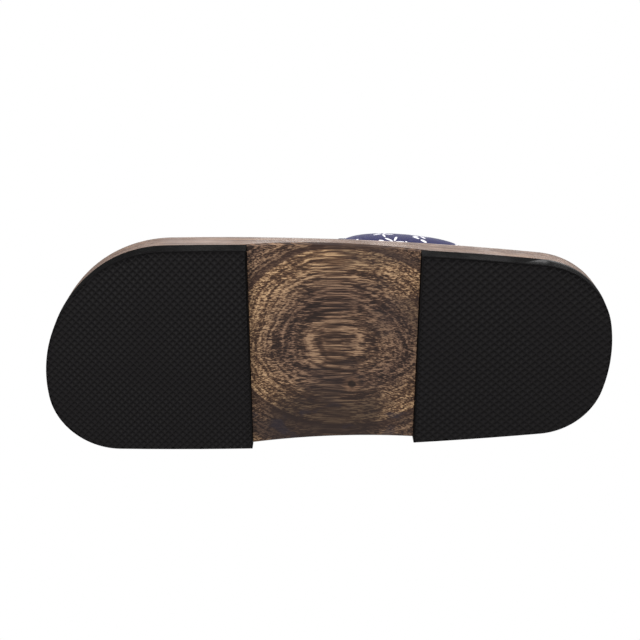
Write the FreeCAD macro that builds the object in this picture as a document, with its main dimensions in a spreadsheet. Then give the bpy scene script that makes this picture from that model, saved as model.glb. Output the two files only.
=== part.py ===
"""Right slipper for a spa: a carved wooden sole on two rubber tread pads, with a padded cloth band.

X runs from heel to toe, -Y is the outer (lateral) side of the foot, +Z is up.
The origin is the middle of the box on the ground.
"""
import FreeCAD, Part
import math
import os
import Sketcher
from FreeCAD import Vector

# Driving dimensions, in millimetres.
SIZES = {
    "length": 269.5,
    "width": 105.6,
    "heel_height": 22.0,
    "toe_height": 19.5,
    "lateral_side_radius": 1450.0,
    "medial_side_radius": 1800.0,
    "heel_end_radius": 72.0,
    "toe_end_radius": 78.0,
    "lateral_widest_station": -44.0,
    "medial_widest_station": -74.0,
    "heel_end_side_shift": 16.0,
    "toe_end_side_shift": 1.5,
    "toe_lateral_corner": 39.0,
    "toe_medial_corner": 32.0,
    "heel_medial_corner": 33.0,
    "heel_lateral_corner": 55.0,
    "heel_lateral_sanding": 5.0,
    "rim_radius": 4.5,
    "pad_thickness": 7.0,
    "pad_draft_angle": 5.0,
    "pad_ground_round": 0.5,
    "heel_pad_length": 98.0,
    "front_pad_length": 92.0,
    "arch_rise": 4.0,
    "arch_chamfer": 0.8,
    "footbed_length": 226.0,
    "footbed_width": 70.0,
    "footbed_depth": 2.4,
    "footbed_station": -8.0,
    "band_rear_station": 5.0,
    "band_length": 64.0,
    "band_inset": 4.6,
    "band_rear_rise": 51.0,
    "band_front_rise": 38.0,
    "cover_thickness": 1.0,
    "padding_thickness": 4.6,
    "padding_edge": 0.6,
    "lining_thickness": 1.0,
    "binding_width": 3.0,
    "slot_depth": 6.5,
    "slot_clearance": 0.3,
    "wedge_thickness": 2.4,
    "tack_diameter": 1.2,
    "tack_head_diameter": 1.8,
    "tack_head_thickness": 0.6,
    "tack_length": 8.0,
    "tack_pitch": 24.0,
}
TACKS_PER_SIDE = 3
CUT_MARGIN = 10.0
# Where along each half of the sole its corner arcs start, and their share of its breadth there.
CORNER_STATION = 0.75
CORNERS_SHARE = 0.9
# How much of the footbed's ellipsoid is cut into the sole, as a share of its half height.
FOOTBED_CAP = 0.3
WEDGE_SETBACK = 0.1
# How far the arch's cutting profile reaches below the wood, and how close two heights count as one.
ARCH_UNDERCUT = 1.0
SAME_HEIGHT = 1e-4

doc = FreeCAD.newDocument("slipper")
sheet = doc.addObject("Spreadsheet::Sheet", "Sizes")
for row, (alias, number) in enumerate(SIZES.items(), start=1):
    sheet.set(f"A{row}", alias)
    sheet.set(f"B{row}", str(number))
    sheet.setAlias(f"B{row}", alias)
doc.recompute()


class Size:
    """A length with the sheet expression that it comes from."""

    def __init__(self, value, text):
        self.value = float(value)
        self.text = text

    def __add__(self, other):
        other = as_size(other)
        return Size(self.value + other.value, f"({self.text} + {other.text})")

    def __sub__(self, other):
        other = as_size(other)
        return Size(self.value - other.value, f"({self.text} - {other.text})")

    def __mul__(self, other):
        other = as_size(other)
        return Size(self.value * other.value, f"({self.text} * {other.text})")

    def __truediv__(self, other):
        other = as_size(other)
        return Size(self.value / other.value, f"({self.text} / {other.text})")

    def __neg__(self):
        return Size(-self.value, f"(0 - {self.text})")


def as_size(number):
    return number if isinstance(number, Size) else Size(number, repr(number))


def named(alias):
    return Size(sheet.get(alias), f"Sizes.{alias}")


def root(size):
    return Size(math.sqrt(size.value), f"sqrt({size.text})")


def least(first, second):
    return Size(min(first.value, second.value), f"min({first.text}; {second.text})")


def bind(thing, prop, size):
    thing.setExpression(prop, size.text)


length = named("length")
half_length = length / 2
half_width = named("width") / 2
pad_top = named("pad_thickness")
heel_pad_edge = named("heel_pad_length") - half_length
front_pad_edge = half_length - named("front_pad_length")
top_slope = (named("toe_height") - named("heel_height")) / length


def sole_top(station):
    """Height of the flat rim of the sole at a station along X."""
    return named("heel_height") + top_slope * (station + half_length)


# ---------------------------------------------------------------- sketch helpers

def new_body(label):
    body = doc.addObject("PartDesign::Body", label)
    body.Label = label
    return body


def new_sketch(body, name, plane, offset=None):
    sketch = body.newObject("Sketcher::SketchObject", name)
    support = [p for p in body.Origin.OriginFeatures if p.Role == plane][0]
    sketch.AttachmentSupport = (support, [""])
    sketch.MapMode = "FlatFace"
    if offset is not None:
        bind(sketch, "AttachmentOffset.Base.z", offset)
    return sketch


def constrain(sketch, name, kind, geometry, size):
    """Add one sized constraint and bind it to the sheet."""
    sketch.addConstraint(Sketcher.Constraint(kind, *geometry, size.value))
    sketch.renameConstraint(sketch.ConstraintCount - 1, name)
    bind(sketch, f"Constraints.{name}", size)


def pin(sketch, name, geometry, point, across, up):
    """Place one point of the geometry by its two distances from the origin."""
    constrain(sketch, name + "_across", "DistanceX", (-1, 1, geometry, point), across)
    constrain(sketch, name + "_up", "DistanceY", (-1, 1, geometry, point), up)


def polygon(sketch, corners):
    """A closed polygon whose corners are pairs of sizes."""
    count = len(corners)
    for i in range(count):
        start, end = corners[i], corners[(i + 1) % count]
        line = Part.LineSegment(Vector(start[0].value, start[1].value, 0),
                                Vector(end[0].value, end[1].value, 0))
        sketch.addGeometry(line)
    for i in range(count):
        sketch.addConstraint(Sketcher.Constraint("Coincident", i, 2, (i + 1) % count, 1))
    for i, corner in enumerate(corners):
        pin(sketch, f"corner{i}", i, 1, corner[0], corner[1])


def arc(centre, radius, start, end):
    first = math.atan2(start.y - centre.y, start.x - centre.x)
    last = math.atan2(end.y - centre.y, end.x - centre.x)
    if last < first:
        last += 2 * math.pi
    return Part.ArcOfCircle(Part.Circle(centre, Vector(0, 0, 1), radius), first, last)


def joined(sketch, first, second):
    """Join the end of one edge to the start of the next, tangent."""
    sketch.addConstraint(Sketcher.Constraint("Tangent", first, 2, second, 1))


def pad(body, sketch, height, reverse=False):
    feature = body.newObject("PartDesign::Pad", sketch.Name + "_pad")
    feature.Profile = sketch
    feature.Reversed = reverse
    bind(feature, "Length", height)
    return feature


def pocket_through(body, sketch):
    """Cut the profile through the whole body, both ways."""
    feature = body.newObject("PartDesign::Pocket", sketch.Name + "_pocket")
    feature.Profile = sketch
    feature.Type = "ThroughAll"
    feature.Midplane = True
    return feature


# ---------------------------------------------------------------- outline of the sole

def corner_centre(first, second, radius, towards):
    """Centre of the corner arc that touches two side circles from inside."""
    r1, r2 = first[1] - radius, second[1] - radius
    across = second[0] - first[0]
    gap = across.Length
    along = (r1 * r1 - r2 * r2 + gap * gap) / (2 * gap)
    off = math.sqrt(r1 * r1 - along * along)
    normal = Vector(-across.y, across.x, 0) / gap
    middle = first[0] + across * (along / gap)
    return max((middle + normal * off, middle - normal * off), key=lambda p: p.dot(towards))


def side_edge(station, side):
    """Y of the sole's edge at a station; side is -1 lateral or +1 medial."""
    name = "lateral" if side < 0 else "medial"
    radius = named(f"{name}_side_radius")
    off = station - named(f"{name}_widest_station")
    inward = radius - root(radius * radius - off * off)
    return (half_width - inward) * side


def fitted(end, lateral, medial):
    """Both corner radii of one end, toe 1 or heel -1, smaller where the sole is too narrow for them."""
    station = half_length * CORNER_STATION * end
    room = (side_edge(station, 1) - side_edge(station, -1)) * CORNERS_SHARE
    share = least(as_size(1.0), room / (lateral + medial))
    return lateral * share, medial * share


def outline(sketch, sanding=0.0):
    """Four bulged sides and four rounder corners, all tangent arcs, counter-clockwise."""
    lateral_r, medial_r = named("lateral_side_radius"), named("medial_side_radius")
    heel_r, toe_r = named("heel_end_radius"), named("toe_end_radius")
    sides = [
        ("lateral", named("lateral_widest_station"), lateral_r - half_width, lateral_r),
        ("toe", half_length - toe_r, named("toe_end_side_shift"), toe_r),
        ("medial", named("medial_widest_station"), half_width - medial_r, medial_r),
        ("heel", heel_r - half_length, named("heel_end_side_shift"), heel_r),
    ]
    sanded = named("heel_lateral_corner") + sanding
    toe_lateral, toe_medial = fitted(1, named("toe_lateral_corner"), named("toe_medial_corner"))
    heel_lateral, heel_medial = fitted(-1, sanded, named("heel_medial_corner"))
    corners = [
        ("toe_lateral", toe_lateral, Vector(1, -1, 0)),
        ("toe_medial", toe_medial, Vector(1, 1, 0)),
        ("heel_medial", heel_medial, Vector(-1, 1, 0)),
        ("heel_lateral", heel_lateral, Vector(-1, -1, 0)),
    ]
    circles = [(Vector(x.value, y.value, 0), r.value) for _, x, y, r in sides]
    touches = []
    for i, (_, radius, towards) in enumerate(corners):
        first, second = circles[i], circles[(i + 1) % 4]
        centre = corner_centre(first, second, radius.value, towards)
        leave = first[0] + (centre - first[0]).normalize() * first[1]
        arrive = second[0] + (centre - second[0]).normalize() * second[1]
        touches.append((centre, leave, arrive))
    for i in range(4):
        centre, leave, arrive = touches[i]
        sketch.addGeometry(arc(circles[i][0], circles[i][1], touches[i - 1][2], leave))
        sketch.addGeometry(arc(centre, corners[i][1].value, leave, arrive))
    for edge in range(8):
        joined(sketch, edge, (edge + 1) % 8)
    for i, (name, x, y, radius) in enumerate(sides):
        pin(sketch, name + "_centre", 2 * i, 3, x, y)
        constrain(sketch, name + "_radius", "Radius", (2 * i,), radius)
    for i, (name, radius, _) in enumerate(corners):
        constrain(sketch, name + "_radius", "Radius", (2 * i + 1,), radius)


# ---------------------------------------------------------------- the band's line

band_rear = named("band_rear_station")
band_front = band_rear + named("band_length")


def between(rear, front, station):
    """Straight-line value at a station from its values at the band's two ends."""
    share = (station - band_rear) / named("band_length")
    return rear + (front - rear) * share


def band_face(station, side):
    """Y of the band's outer face where it stands in its slot."""
    def end_value(end):
        return side_edge(end, side) - named("band_inset") * side
    return between(end_value(band_rear), end_value(band_front), station)


def band_rise(station):
    return between(named("band_rear_rise"), named("band_front_rise"), station)


band_middle = (band_rear + band_front) / 2
slot_floor = sole_top(band_middle) - named("slot_depth")
wedge_top = sole_top(band_front) - WEDGE_SETBACK
head_seat = wedge_top - named("tack_head_thickness")
tack_into_sole = named("tack_length") - (wedge_top - slot_floor)
band_stack = named("cover_thickness") + named("padding_edge") + named("lining_thickness")


def half_ellipse(centre, span, rise):
    """Upper half of an ellipse, from its right end over the top to its left end."""
    top, right = centre + Vector(0, rise, 0), centre + Vector(span, 0, 0)
    if rise > span:
        return Part.ArcOfEllipse(Part.Ellipse(top, right, centre), -math.pi / 2, math.pi / 2)
    return Part.ArcOfEllipse(Part.Ellipse(right, top, centre), 0, math.pi)


def arch_line(sketch, first, station, side_in, top_in):
    """One arched line: right leg, half ellipse over the foot, left leg."""
    left = band_face(station, -1) + side_in
    right = band_face(station, 1) - side_in
    spring = sole_top(station)
    middle = (left + right) / 2
    span = (right - left) / 2
    rise = band_rise(station) - top_in
    base, foot = spring.value, slot_floor.value
    right_foot, left_foot = Vector(right.value, foot, 0), Vector(left.value, foot, 0)
    right_spring, left_spring = Vector(right.value, base, 0), Vector(left.value, base, 0)
    sketch.addGeometry(Part.LineSegment(right_foot, right_spring))
    sketch.addGeometry(half_ellipse(Vector(middle.value, base, 0), span.value, rise.value))
    sketch.addGeometry(Part.LineSegment(left_spring, left_foot))
    for edge in (first, first + 1):
        sketch.addConstraint(Sketcher.Constraint("Coincident", edge, 2, edge + 1, 1))
    tag = f"line{first}"
    pin(sketch, tag + "_right_foot", first, 1, right, slot_floor)
    pin(sketch, tag + "_right_spring", first, 2, right, spring)
    pin(sketch, tag + "_left_spring", first + 2, 1, left, spring)
    pin(sketch, tag + "_left_foot", first + 2, 2, left, slot_floor)
    return [right_foot, left_foot]


def arch_section(body, name, station, outer, inner):
    """Closed section of one band layer; outer and inner are its depths at side and top."""
    sketch = new_sketch(body, name, "YZ_Plane", station)
    outer_feet = arch_line(sketch, 0, station, *outer)
    inner_feet = arch_line(sketch, 3, station, *inner)
    for i in range(2):
        sketch.addGeometry(Part.LineSegment(outer_feet[i], inner_feet[i]))
        sketch.addConstraint(Sketcher.Constraint("Coincident", 6 + i, 1, 2 * i, 1 + i))
        sketch.addConstraint(Sketcher.Constraint("Coincident", 6 + i, 2, 3 + 2 * i, 1 + i))
    return sketch


def band_layer(label, start, end, outer, inner):
    """One layer of the band, straight between its two arched ends."""
    body = new_body(label)
    rear = arch_section(body, label + "_rear", start, outer, inner)
    front = arch_section(body, label + "_front", end, outer, inner)
    loft = body.newObject("PartDesign::AdditiveLoft", label + "_loft")
    loft.Profile = rear
    loft.Sections = [front]
    loft.Ruled = True
    return body


# ---------------------------------------------------------------- wooden sole

def tack_stations():
    pitch = named("tack_pitch")
    middle = (TACKS_PER_SIDE - 1) / 2
    return [band_middle + pitch * (i - middle) for i in range(TACKS_PER_SIDE)]


def wedge_line(station, side, share):
    """Y across a wedge: share 0 is its face on the band, 1 its inboard face."""
    depth = band_stack + named("slot_clearance") / 2 + named("wedge_thickness") * share
    return band_face(station, side) - depth * side


def tack_circles(sketch, side, diameter):
    for i, station in enumerate(tack_stations()):
        across = wedge_line(station, side, 0.5)
        centre = Vector(station.value, across.value, 0)
        sketch.addGeometry(Part.Circle(centre, Vector(0, 0, 1), diameter.value / 2))
        pin(sketch, f"tack{i}", i, 3, station, across)
        constrain(sketch, f"tack{i}_size", "Diameter", (i,), diameter)


def top_edges(shape):
    """Edges of the highest, nearly level face."""
    face = max(shape.Faces, key=lambda f: f.CenterOfMass.z)
    names = []
    for i, edge in enumerate(shape.Edges, start=1):
        if any(edge.isSame(other) for other in face.Edges):
            names.append(f"Edge{i}")
    return names


def arch_side_edges(shape):
    """The two curved edges where the arch leaves the sides of the sole."""
    arches = [f for f in shape.Faces
              if isinstance(f.Surface, Part.Cylinder) and abs(f.Surface.Axis.y) > 0.99]
    names = []
    for i, edge in enumerate(shape.Edges, start=1):
        on_arch = any(edge.isSame(other) for face in arches for other in face.Edges)
        if on_arch and abs(edge.tangentAt(edge.FirstParameter).x) > 0.5:
            names.append(f"Edge{i}")
    return names


def wooden_sole():
    body = new_body("wood_sole")
    rim = new_sketch(body, "sole_outline", "XY_Plane", pad_top)
    outline(rim, named("heel_lateral_sanding"))
    pad(body, rim, named("heel_height") - pad_top)
    slope = new_sketch(body, "sole_slope", "XZ_Plane")
    above = named("heel_height") + CUT_MARGIN
    polygon(slope, [
        (-half_length, named("heel_height")), (half_length, named("toe_height")),
        (half_length, above), (-half_length, above),
    ])
    sloped = pocket_through(body, slope)
    doc.recompute()
    rounding = body.newObject("PartDesign::Fillet", "sole_rim")
    rounding.Base = (sloped, top_edges(sloped.Shape))
    bind(rounding, "Radius", named("rim_radius"))
    arch = new_sketch(body, "sole_arch", "XZ_Plane")
    arch_profile(arch)
    arched = pocket_through(body, arch)
    doc.recompute()
    chamfer = body.newObject("PartDesign::Chamfer", "sole_arch_edges")
    chamfer.Base = (arched, arch_side_edges(arched.Shape))
    bind(chamfer, "Size", named("arch_chamfer"))
    footbed(body)
    for side, name in ((-1, "lateral"), (1, "medial")):
        slot(body, side, name)
    return body


def arch_profile(sketch):
    """Segment of a circle under the waist, closed a little below the sole."""
    rise = named("arch_rise")
    half_span = (front_pad_edge - heel_pad_edge) / 2
    middle = (front_pad_edge + heel_pad_edge) / 2
    radius = (half_span * half_span + rise * rise) / (rise * 2)
    top = pad_top + rise
    below = pad_top - ARCH_UNDERCUT
    rear, front = heel_pad_edge.value, front_pad_edge.value
    level = pad_top.value
    centre = Vector(middle.value, (top - radius).value, 0)
    start, end = Vector(front, level, 0), Vector(rear, level, 0)
    sketch.addGeometry(arc(centre, radius.value, start, end))
    sketch.addGeometry(Part.LineSegment(end, Vector(rear, below.value, 0)))
    sketch.addGeometry(Part.LineSegment(Vector(rear, below.value, 0), Vector(front, below.value, 0)))
    sketch.addGeometry(Part.LineSegment(Vector(front, below.value, 0), start))
    for edge in range(4):
        sketch.addConstraint(Sketcher.Constraint("Coincident", edge, 2, (edge + 1) % 4, 1))
    pin(sketch, "front", 0, 1, front_pad_edge, pad_top)
    pin(sketch, "rear", 0, 2, heel_pad_edge, pad_top)
    constrain(sketch, "arch_radius", "Radius", (0,), radius)
    pin(sketch, "rear_low", 2, 1, heel_pad_edge, below)
    pin(sketch, "front_low", 2, 2, front_pad_edge, below)


def footbed(body):
    """Shallow hollow for the foot: the tip of a very flat ellipsoid."""
    depth = named("footbed_depth")
    reach = math.sqrt(1 - (1 - FOOTBED_CAP) ** 2)
    station = named("footbed_station")
    hollow = body.newObject("PartDesign::SubtractiveEllipsoid", "footbed_hollow")
    bind(hollow, "Radius1", depth / FOOTBED_CAP)
    bind(hollow, "Radius2", named("footbed_length") / (2 * reach))
    bind(hollow, "Radius3", named("footbed_width") / (2 * reach))
    plane = [p for p in body.Origin.OriginFeatures if p.Role == "XY_Plane"][0]
    hollow.AttachmentSupport = (plane, [""])
    hollow.MapMode = "FlatFace"
    tilt = math.degrees(math.atan(-top_slope.value))
    hollow.AttachmentOffset = FreeCAD.Placement(Vector(), FreeCAD.Rotation(Vector(0, 1, 0), tilt))
    bind(hollow, "AttachmentOffset.Base.x", station)
    bind(hollow, "AttachmentOffset.Base.z", sole_top(station) - depth + depth / FOOTBED_CAP)


def slot(body, side, name):
    """Blind slot for one end of the band, with holes for its tacks."""
    clear = named("slot_clearance")
    rear, front = band_rear - clear, band_front + clear
    full = named("wedge_thickness") + band_stack + clear
    cut = new_sketch(body, f"{name}_slot", "XY_Plane", slot_floor)
    inner_rear = band_face(rear, side) - full * side
    inner_front = band_face(front, side) - full * side
    polygon(cut, [
        (rear, band_face(rear, side)), (front, band_face(front, side)),
        (front, inner_front), (rear, inner_rear),
    ])
    pocket = body.newObject("PartDesign::Pocket", f"{name}_slot_pocket")
    pocket.Profile = cut
    pocket.Reversed = True
    bind(pocket, "Length", named("slot_depth") + CUT_MARGIN)
    holes = new_sketch(body, f"{name}_tack_holes", "XY_Plane", slot_floor)
    tack_circles(holes, side, named("tack_diameter"))
    hole = body.newObject("PartDesign::Pocket", f"{name}_tack_hole_pocket")
    hole.Profile = holes
    bind(hole, "Length", tack_into_sole)


# ---------------------------------------------------------------- wedges and tacks

def wedge(side, name):
    """Thin wooden strip that keeps the band's end in its slot."""
    body = new_body(name)
    clear = named("slot_clearance")
    plan = new_sketch(body, name + "_plan", "XY_Plane", slot_floor)
    polygon(plan, [
        (band_rear, wedge_line(band_rear, side, 0)), (band_front, wedge_line(band_front, side, 0)),
        (band_front, wedge_line(band_front, side, 1)), (band_rear, wedge_line(band_rear, side, 1)),
    ])
    pad(body, plan, sole_top(band_rear) - slot_floor)
    slope = new_sketch(body, name + "_slope", "XZ_Plane")
    above = sole_top(band_rear) + CUT_MARGIN
    rear, front = band_rear - clear, band_front + clear
    polygon(slope, [(rear, sole_top(rear)), (front, sole_top(front)), (front, above), (rear, above)])
    pocket_through(body, slope)
    for part, size, floor in (("shank", named("tack_diameter"), slot_floor),
                              ("head", named("tack_head_diameter"), head_seat)):
        holes = new_sketch(body, f"{name}_{part}_holes", "XY_Plane", floor)
        tack_circles(holes, side, size)
        cut = body.newObject("PartDesign::Pocket", f"{name}_{part}_pocket")
        cut.Profile = holes
        cut.Reversed = True
        bind(cut, "Length", named("slot_depth") + CUT_MARGIN)
    return body


def tacks(side, name):
    """A row of headed tacks, driven down through the wedge into the wood."""
    pieces = []
    for i, station in enumerate(tack_stations()):
        shank = doc.addObject("Part::Cylinder", f"{name}_shank{i}")
        bind(shank, "Radius", named("tack_diameter") / 2)
        bind(shank, "Height", named("tack_length") - named("tack_head_thickness"))
        head = doc.addObject("Part::Cylinder", f"{name}_head{i}")
        bind(head, "Radius", named("tack_head_diameter") / 2)
        bind(head, "Height", named("tack_head_thickness"))
        foot = wedge_top - named("tack_length")
        for piece, height in ((shank, foot), (head, head_seat)):
            bind(piece, "Placement.Base.x", station)
            bind(piece, "Placement.Base.y", wedge_line(station, side, 0.5))
            bind(piece, "Placement.Base.z", height)
        tack = doc.addObject("Part::MultiFuse", f"{name}_tack{i}")
        tack.Shapes = [shank, head]
        pieces.append(tack)
    group = doc.addObject("Part::Compound", name)
    group.Label = name
    group.Links = pieces
    return group


# ---------------------------------------------------------------- rubber pads

def rubber_pad(name, cut_from, cut_to):
    """Pad with the sole's outline, drafted towards the ground and cut across."""
    body = new_body(name)
    rim = new_sketch(body, name + "_outline", "XY_Plane", pad_top)
    outline(rim)
    block = pad(body, rim, pad_top, reverse=True)
    bind(block, "TaperAngle", -named("pad_draft_angle"))
    cut = new_sketch(body, name + "_cut", "XY_Plane")
    reach = half_width + CUT_MARGIN
    polygon(cut, [(cut_from, -reach), (cut_to, -reach), (cut_to, reach), (cut_from, reach)])
    trimmed = pocket_through(body, cut)
    doc.recompute()
    edges = []
    for i, edge in enumerate(trimmed.Shape.Edges, start=1):
        if abs(edge.BoundBox.ZMax) < SAME_HEIGHT:
            edges.append(f"Edge{i}")
    rounding = body.newObject("PartDesign::Fillet", name + "_ground_round")
    rounding.Base = (trimmed, edges)
    bind(rounding, "Radius", named("pad_ground_round"))
    return body


# ---------------------------------------------------------------- assembly

def build():
    past_toe = half_length + CUT_MARGIN
    past_heel = -half_length - CUT_MARGIN
    binding = named("binding_width")
    cover = named("cover_thickness")
    padding_side = cover + named("padding_edge")
    padding_top = cover + named("padding_thickness")
    lining = named("lining_thickness")
    none = as_size(0.0)
    full = (padding_side + lining, padding_top + lining)
    rear, front = band_rear + binding, band_front - binding
    parts = [
        wooden_sole(),
        rubber_pad("heel_pad", heel_pad_edge, past_toe),
        rubber_pad("front_pad", past_heel, front_pad_edge),
        band_layer("band_cover", rear, front, (none, none), (cover, cover)),
        band_layer("band_padding", rear, front, (cover, cover), (padding_side, padding_top)),
        band_layer("band_lining", rear, front, (padding_side, padding_top), full),
        band_layer("rear_binding", band_rear, rear, (none, none), full),
        band_layer("front_binding", front, band_front, (none, none), full),
        wedge(-1, "lateral_wedge"),
        wedge(1, "medial_wedge"),
        tacks(-1, "lateral_tacks"),
        tacks(1, "medial_tacks"),
    ]
    doc.recompute()
    return parts


def check(parts):
    for thing in doc.Objects:
        if "Invalid" in thing.State or "Error" in thing.State:
            raise RuntimeError(f"{thing.Name} failed: {thing.State}")
    for piece in parts:
        if piece.Shape.isNull() or not piece.Shape.isValid():
            raise RuntimeError(f"{piece.Label} has no valid shape")


subparts = build()
check(subparts)
os.makedirs("parts", exist_ok=True)
for piece in subparts:
    piece.Shape.exportStep(os.path.join("parts", piece.Label + ".step"))
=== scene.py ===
"""Looks of a right-foot spa slipper: scorched wooden sole, two rubber treads and a padded cloth band.

Lengths are in metres. X runs heel to toe, -Y is the outer side of the foot, +Z is up.
"""
import math

import bmesh
import bpy
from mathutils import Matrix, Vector, noise


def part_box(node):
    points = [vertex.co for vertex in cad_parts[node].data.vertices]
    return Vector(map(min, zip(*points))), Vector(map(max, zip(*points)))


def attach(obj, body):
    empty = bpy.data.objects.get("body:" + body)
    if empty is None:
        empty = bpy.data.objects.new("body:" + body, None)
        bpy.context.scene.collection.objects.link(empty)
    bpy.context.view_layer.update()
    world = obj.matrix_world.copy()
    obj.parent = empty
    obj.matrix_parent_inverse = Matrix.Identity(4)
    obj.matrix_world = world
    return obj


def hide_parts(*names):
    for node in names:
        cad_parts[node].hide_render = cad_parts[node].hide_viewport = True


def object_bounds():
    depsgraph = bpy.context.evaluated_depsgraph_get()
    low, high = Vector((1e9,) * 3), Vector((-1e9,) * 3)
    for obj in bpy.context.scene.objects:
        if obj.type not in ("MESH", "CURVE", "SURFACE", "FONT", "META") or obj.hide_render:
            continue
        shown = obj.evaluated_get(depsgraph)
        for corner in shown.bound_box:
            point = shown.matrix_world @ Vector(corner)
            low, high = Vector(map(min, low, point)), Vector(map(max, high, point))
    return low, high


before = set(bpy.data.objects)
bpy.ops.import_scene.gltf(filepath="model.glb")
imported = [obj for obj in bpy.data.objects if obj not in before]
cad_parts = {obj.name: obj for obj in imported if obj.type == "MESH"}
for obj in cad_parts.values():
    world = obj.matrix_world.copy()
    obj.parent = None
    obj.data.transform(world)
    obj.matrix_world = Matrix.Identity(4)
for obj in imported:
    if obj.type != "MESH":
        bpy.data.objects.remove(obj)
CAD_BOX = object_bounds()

MM = 0.001
HALF_LENGTH = (CAD_BOX[1].x - CAD_BOX[0].x) / 2
MERGE_DISTANCE = 1e-6

# Tread: a raised net of rubber around small lozenge-shaped pits.
TREAD_DEPTH = 0.6 * MM
TREAD_BACKING = 0.25 * MM
RIB_SHARE = 0.2
PIT_LIP = 0.07 * MM
PIT_FLOOR_SHARE = 0.58
SMALLEST_PIT_SHARE = 0.3 * math.sin(math.radians(80))
TREADS = {
    "heel_pad": {"pitch": 2.55 * MM, "angle": 46.0},
    "front_pad": {"pitch": 2.9 * MM, "angle": 41.0},
}

# Band: its thickness, how much the padding crowns between the bound edges, and its grids.
THICKNESS_IN_SLOT = 2.4 * MM
THICKNESS_OVER_FOOT = 6.6 * MM
LINING_THICKNESS = 0.9 * MM
BAND_CROWN = 3.1 * MM
CROWN_ROUNDNESS = 2.2
CROWN_START, CROWN_RUN = 0.035, 0.05
TAPED_SHARE = 0.7
PADDING_RUN = 0.3
PUCKER_HEIGHT, PUCKER_REACH, PUCKER_START = 0.55, 6.0 * MM, 0.6
CREASE_HEIGHT = 0.35
LINING_CROWN_SHARE = 0.25
BAND_FOOT_DEPTH = 6.0 * MM
BAND_LEG_SHARE = 0.04
BAND_ROWS = 120
CUSHION_COLUMNS = 40
CUSHION_MARGIN = 0.02
LINING_COLUMNS = 24
LINING_MARGIN = 0.03

# Swelling of the cushion as pressurised cloth.
SWELL_PRESSURE = 1500.0
SWELL_STIFFNESS = 1.0
SWELL_BENDING = 0.2
SWELL_POINT_MASS = 0.001
SWELL_QUALITY = 6
SWELL_FRAMES = 20
SWELL_LIMIT = 2.5 * MM
SWELL_SHARE_HELD = 0.045

# Edge tapes and their stitches.
BINDING_WIDTH = 5.0 * MM
BINDING_PROUD = 0.45 * MM
TAPE_STEPS = 12
TAPE_SQUARENESS = 0.55
TAPE_RIPPLE = 0.12 * MM
TAPE_CLOTH_STEP = 1.1 * MM
STITCH_LENGTH = 2.6 * MM
STITCH_GAP = 1.1 * MM
STITCH_RADIUS = 0.24 * MM
STITCH_TIP_SHARE = 0.7
STITCH_SIDES = 6
STITCH_PROUD = 0.08 * MM
STITCH_INSET = 1.4 * MM
FIRST_STITCH = 1.0 * MM


# ---------------------------------------------------------------- shader helpers

def group(name, inputs, outputs):
    """An empty shader node group with named sockets; returns the tree and its two end nodes."""
    tree = bpy.data.node_groups.new(name, "ShaderNodeTree")
    for label, kind, value in inputs:
        socket = tree.interface.new_socket(label, in_out="INPUT", socket_type="NodeSocket" + kind)
        if value is not None:
            socket.default_value = value
    for label, kind in outputs:
        tree.interface.new_socket(label, in_out="OUTPUT", socket_type="NodeSocket" + kind)
    return tree, tree.nodes.new("NodeGroupInput"), tree.nodes.new("NodeGroupOutput")


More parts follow.
